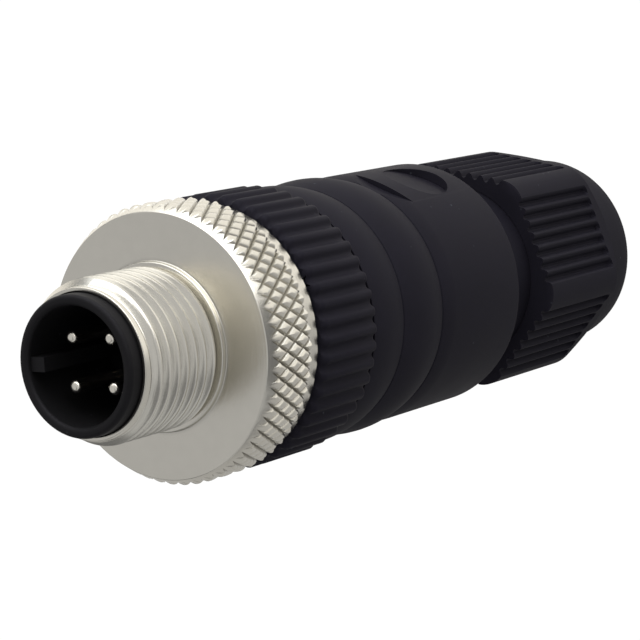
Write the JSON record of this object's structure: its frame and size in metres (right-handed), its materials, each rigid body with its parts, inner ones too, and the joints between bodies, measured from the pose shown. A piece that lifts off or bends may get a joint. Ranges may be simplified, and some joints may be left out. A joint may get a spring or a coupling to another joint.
{
  "type": "circular connector",
  "caption": "Straight male circular connector with a knurled threaded coupling, pin contacts in a keyed shroud, a ribbed cable gland nut and screw terminals.",
  "frame": {"origin": "centre of the rear face of the gland nut, on which the connector stands", "axes": "+Z along the connector's axis, towards its pins; the coding key points towards -X"},
  "size_m": [0.0208, 0.0208, 0.0662],
  "materials": {
    "nickel_plated_brass": "nickel plated, turned",
    "contact_metal": "plated, bright",
    "insert_plastic": "moulded, fine matt",
    "grip_plastic": "moulded, fine matt",
    "sleeve_plastic": "moulded, fine matt",
    "nut_plastic": "moulded, fine matt",
    "cage_plastic": "moulded, fine matt",
    "seal_rubber": "soft, matt",
    "screw_steel": "zinc plated"
  },
  "bodies": {
    "carrier": {"contact_insert": "insert_plastic", "grip_ring": "grip_plastic", "sleeve_o_ring": "seal_rubber", "contact_pin_1": "contact_metal", "contact_pin_2": "contact_metal", "contact_pin_3": "contact_metal", "contact_pin_4": "contact_metal"},
    "coupling_screw": {"coupling_screw": "nickel_plated_brass"},
    "cable_seal": {"gland_seal": "seal_rubber"},
    "sleeve": {"sleeve": "sleeve_plastic"},
    "cage": {"clamping_cage": "cage_plastic"},
    "gland_nut": {"gland_nut": "nut_plastic"},
    "terminal_screw_1": {"terminal_screw_1": "screw_steel"},
    "terminal_screw_2": {"terminal_screw_2": "screw_steel"},
    "terminal_screw_3": {"terminal_screw_3": "screw_steel"},
    "terminal_screw_4": {"terminal_screw_4": "screw_steel"}
  },
  "joints": [
    {"name": "coupling_screw_turn", "type": "hinge", "parent": "carrier", "child": "coupling_screw", "pos_m": [0, 0, 0.0575], "axis": [0, 0, 1], "continuous": true},
    {"name": "sleeve_travel", "type": "slide", "parent": "carrier", "child": "cable_seal", "axis": [0, 0, -1], "range_m": [0, 0.00451]},
    {"name": "sleeve_turn", "type": "hinge", "parent": "cable_seal", "child": "sleeve", "pos_m": [0, 0, 0.039], "axis": [0, 0, -1], "range_deg": [0, 1620]},
    {"name": "cage_travel", "type": "slide", "parent": "sleeve", "child": "cage", "axis": [0, 0, -1], "range_m": [-0.00301, 0.00451]},
    {"name": "gland_nut_turn", "type": "hinge", "parent": "cage", "child": "gland_nut", "pos_m": [0, 0, 0.01], "axis": [0, 0, -1], "range_deg": [-720, 1080]},
    {"name": "terminal_screw_1_travel", "type": "slide", "parent": "carrier", "child": "terminal_screw_1", "axis": [-0.7254, -0.6884, 0], "range_m": [-0.0005, 0.0011]},
    {"name": "terminal_screw_2_travel", "type": "slide", "parent": "carrier", "child": "terminal_screw_2", "axis": [0.6884, -0.7254, 0], "range_m": [-0.0005, 0.0011]},
    {"name": "terminal_screw_3_travel", "type": "slide", "parent": "carrier", "child": "terminal_screw_3", "axis": [0.7254, 0.6884, 0], "range_m": [-0.0005, 0.0011]},
    {"name": "terminal_screw_4_travel", "type": "slide", "parent": "carrier", "child": "terminal_screw_4", "axis": [-0.6884, 0.7254, 0], "range_m": [-0.0005, 0.0011]}
  ],
  "couplings": [
    {"joint": "sleeve_travel", "follows": "sleeve_turn", "m_per_rad": 0.00015915},
    {"joint": "cage_travel", "follows": "gland_nut_turn", "m_per_rad": 0.00023873}
  ]
}
